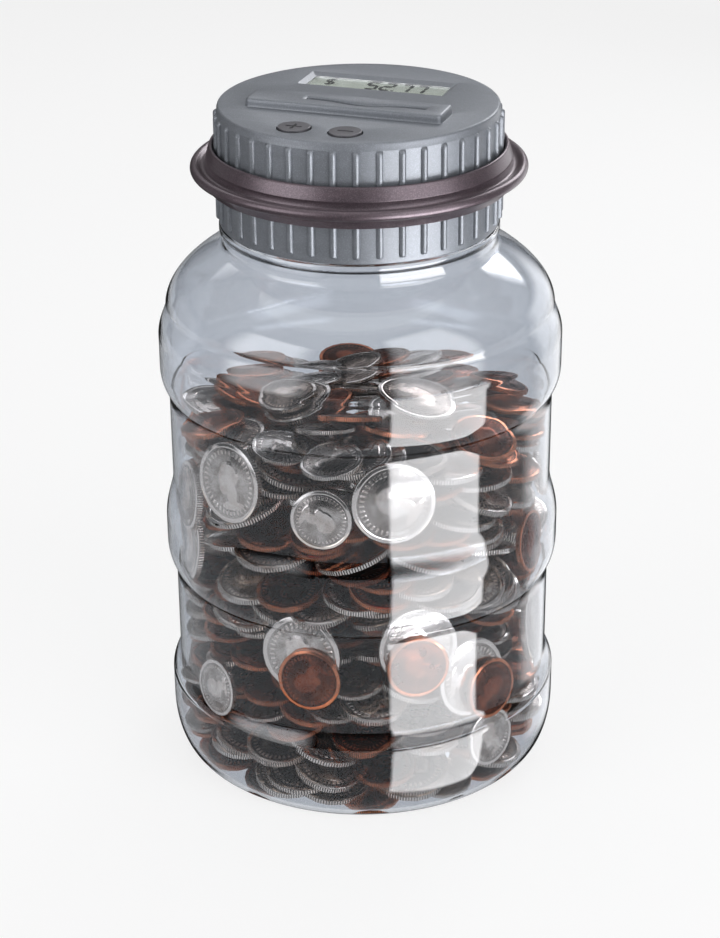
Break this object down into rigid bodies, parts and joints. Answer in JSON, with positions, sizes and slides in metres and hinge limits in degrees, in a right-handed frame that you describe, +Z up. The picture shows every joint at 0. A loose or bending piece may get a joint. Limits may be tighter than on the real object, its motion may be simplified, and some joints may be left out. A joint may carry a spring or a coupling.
{
  "type": "coin counting jar",
  "caption": "Clear hooped screw-top jar with a ribbed counting lid: coin slot, display, plus and minus buttons, coin-sizing lever and battery box; filled with coins.",
  "frame": {"origin": "middle of the flat ring that the jar stands on", "axes": "+Z up along the jar's axis, +X along the coin slot and the display from left to right, +Y from the buttons towards the display"},
  "size_m": [0.12, 0.12, 0.208],
  "materials": {
    "clear_pet": "clear blow-moulded PET with a faint blue-grey cast",
    "silver_paint": "ABS with satin dark-silver metallic paint",
    "bronze_paint": "ABS with mauve-brown metallic paint with fine flake",
    "coins": "worn cupronickel and copper coins",
    "display_glass": "reflective liquid crystal, pale green-grey with dark segments",
    "window": "clear acrylic window",
    "black_abs": "moulded black ABS, fine spark texture",
    "white_plastic": "natural acetal and foam",
    "rubber": "matt silicone",
    "board": "glass-epoxy with green solder mask",
    "epoxy": "cast black epoxy",
    "steel": "bright nickel-plated steel",
    "spring_brass": "phosphor-bronze strip",
    "cell_sleeve": "plain printed film over a steel can"
  },
  "bodies": {
    "jar": {"jar_body": "clear_pet", "coin_pile": "coins"},
    "seal": {"mouth_seal": "white_plastic"},
    "lid": {"lid_cap": "silver_paint", "bumper_ring": "bronze_paint", "display_window": "window", "display_panel": "display_glass", "display_frame": "black_abs", "display_contact_strip": "rubber", "main_board": "board", "chip_dome": "epoxy", "button_board": "board", "rubber_keypad": "rubber", "chute_front": "black_abs", "chute_back": "black_abs", "lever_pivot_pin": "steel", "lever_spring": "steel", "leaf_contacts": "spring_brass", "inner_cover": "black_abs", "battery_1": "cell_sleeve", "battery_2": "cell_sleeve", "contact_plate_1": "steel", "contact_plate_2": "steel", "contact_spring_1": "steel", "contact_spring_2": "steel", "cover_screw_1": "steel", "cover_screw_2": "steel", "cover_screw_3": "steel", "cover_screw_4": "steel", "cover_screw_5": "steel"},
    "button_plus": {"button_plus": "silver_paint"},
    "button_minus": {"button_minus": "silver_paint"},
    "coin_lever": {"coin_lever": "white_plastic"},
    "battery_door": {"battery_door": "black_abs"}
  },
  "joints": [
    {"name": "thread_rise", "type": "slide", "parent": "jar", "child": "seal", "axis": [0, 0, 1], "range_m": [0, 0.0401]},
    {"name": "lid_unscrew", "type": "hinge", "parent": "seal", "child": "lid", "pos_m": [0, 0, 0.1863], "axis": [0, 0, 1], "range_deg": [0, 900]},
    {"name": "button_plus_press", "type": "slide", "parent": "lid", "child": "button_plus", "axis": [0, 0, -1], "range_m": [0, 0.0008], "stiffness_N_per_m": 300, "springref_m": -0.0005},
    {"name": "button_minus_press", "type": "slide", "parent": "lid", "child": "button_minus", "axis": [0, 0, -1], "range_m": [0, 0.0008], "stiffness_N_per_m": 300, "springref_m": -0.0005},
    {"name": "coin_lever_swing", "type": "hinge", "parent": "lid", "child": "coin_lever", "pos_m": [-0.0155, -0.01, 0.197], "axis": [0, 1, 0], "range_deg": [0, 52], "stiffness_Nm_per_rad": 0.0004, "springref_deg": -17.19},
    {"name": "battery_door_release", "type": "slide", "parent": "lid", "child": "battery_door", "axis": [0, 0, -1], "range_m": [0, 0.03]}
  ],
  "couplings": [
    {"joint": "thread_rise", "follows": "lid_unscrew", "m_per_rad": 0.0025465}
  ]
}
